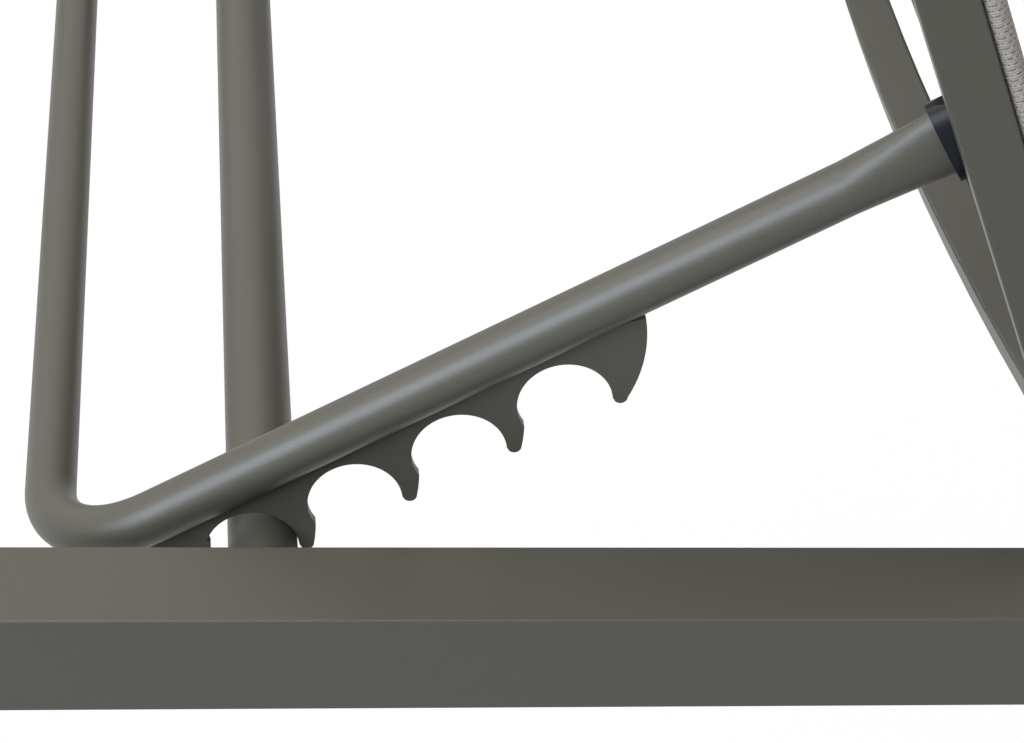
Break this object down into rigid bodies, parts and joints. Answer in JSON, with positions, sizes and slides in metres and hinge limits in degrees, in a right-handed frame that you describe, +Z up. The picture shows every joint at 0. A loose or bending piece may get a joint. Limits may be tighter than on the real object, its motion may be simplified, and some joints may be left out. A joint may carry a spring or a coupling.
{
  "type": "canopy sun lounger",
  "caption": "Sun lounger with a welded tube frame, padded woven slings, a backrest held by a toothed prop over a rest bar, and a tilting cloth canopy.",
  "frame": {"origin": "on the floor, under the middle of the frame", "axes": "+X towards the foot end, +Y towards the sitter's left, +Z up"},
  "size_m": [1.95, 0.69, 1.3551],
  "materials": {
    "frame_coat": "satin powder coat, taupe grey",
    "black_plastic": "matt black",
    "fasteners": "satin stainless",
    "sling_weave": "woven, light beige grey",
    "canopy_fabric": "woven, light beige grey"
  },
  "bodies": {
    "frame": {"side_rail_right": "frame_coat", "side_rail_left": "frame_coat", "head_rail": "frame_coat", "foot_rail": "frame_coat", "prop_rest_bar": "frame_coat", "leg_head_right": "frame_coat", "leg_head_left": "frame_coat", "leg_foot_right": "frame_coat", "leg_foot_left": "frame_coat", "glide_head_right": "black_plastic", "glide_head_left": "black_plastic", "glide_foot_right": "black_plastic", "glide_foot_left": "black_plastic", "seat_rail_right": "frame_coat", "seat_rail_left": "frame_coat", "seat_spreader_rear": "frame_coat", "seat_spreader_middle": "frame_coat", "seat_spreader_front": "frame_coat", "seat_sling": "sling_weave", "hinge_bolt_right": "fasteners", "hinge_bolt_left": "fasteners", "hinge_washer_right": "black_plastic", "hinge_washer_left": "black_plastic"},
    "backrest": {"backrest_rail_right": "frame_coat", "backrest_rail_left": "frame_coat", "backrest_spreader_lower": "frame_coat", "backrest_spreader_upper": "frame_coat", "backrest_sling": "sling_weave", "backrest_plug_right": "black_plastic", "backrest_plug_left": "black_plastic", "prop_pivot_bolt_right": "fasteners", "prop_pivot_bolt_left": "fasteners", "canopy_bracket_right": "frame_coat", "canopy_bracket_left": "frame_coat", "bracket_screws_right": "fasteners", "bracket_screws_left": "fasteners", "clamp_bolt_right": "fasteners", "clamp_bolt_left": "fasteners"},
    "prop": {"prop_bar": "frame_coat", "prop_rack_right": "frame_coat", "prop_rack_left": "frame_coat", "prop_end_cap_right": "black_plastic", "prop_end_cap_left": "black_plastic"},
    "canopy": {"canopy_arm_right": "frame_coat", "canopy_arm_left": "frame_coat", "canopy_cross_tube_rear": "frame_coat", "canopy_cross_tube_middle": "frame_coat", "canopy_cross_tube_front": "frame_coat", "canopy_plug_right": "black_plastic", "canopy_plug_left": "black_plastic", "clamp_disc_right": "black_plastic", "clamp_disc_left": "black_plastic", "canopy_cloth": "canopy_fabric"},
    "knob_right": {"canopy_knob_right": "black_plastic"},
    "knob_left": {"canopy_knob_left": "black_plastic"}
  },
  "joints": [
    {"name": "backrest_recline", "type": "hinge", "parent": "frame", "child": "backrest", "pos_m": [-0.1878, 0, 0.32], "axis": [0, 1, 0], "range_deg": [0, 18]},
    {"name": "prop_swing", "type": "hinge", "parent": "backrest", "child": "prop", "pos_m": [-0.26088, 0, 0.48887], "axis": [0, 1, 0], "range_deg": [-10.8, 0]},
    {"name": "canopy_tilt", "type": "hinge", "parent": "backrest", "child": "canopy", "pos_m": [-0.41107, 0, 0.93163], "axis": [0, 1, 0], "range_deg": [-60, 50]},
    {"name": "knob_turn_right", "type": "hinge", "parent": "backrest", "child": "knob_right", "pos_m": [-0.41107, 0, 0.93163], "axis": [0, 1, 0], "continuous": true},
    {"name": "knob_turn_left", "type": "hinge", "parent": "backrest", "child": "knob_left", "pos_m": [-0.41107, 0, 0.93163], "axis": [0, 1, 0], "continuous": true}
  ],
  "couplings": [
    {"joint": "prop_swing", "follows": "backrest_recline", "ratio": -0.6}
  ]
}
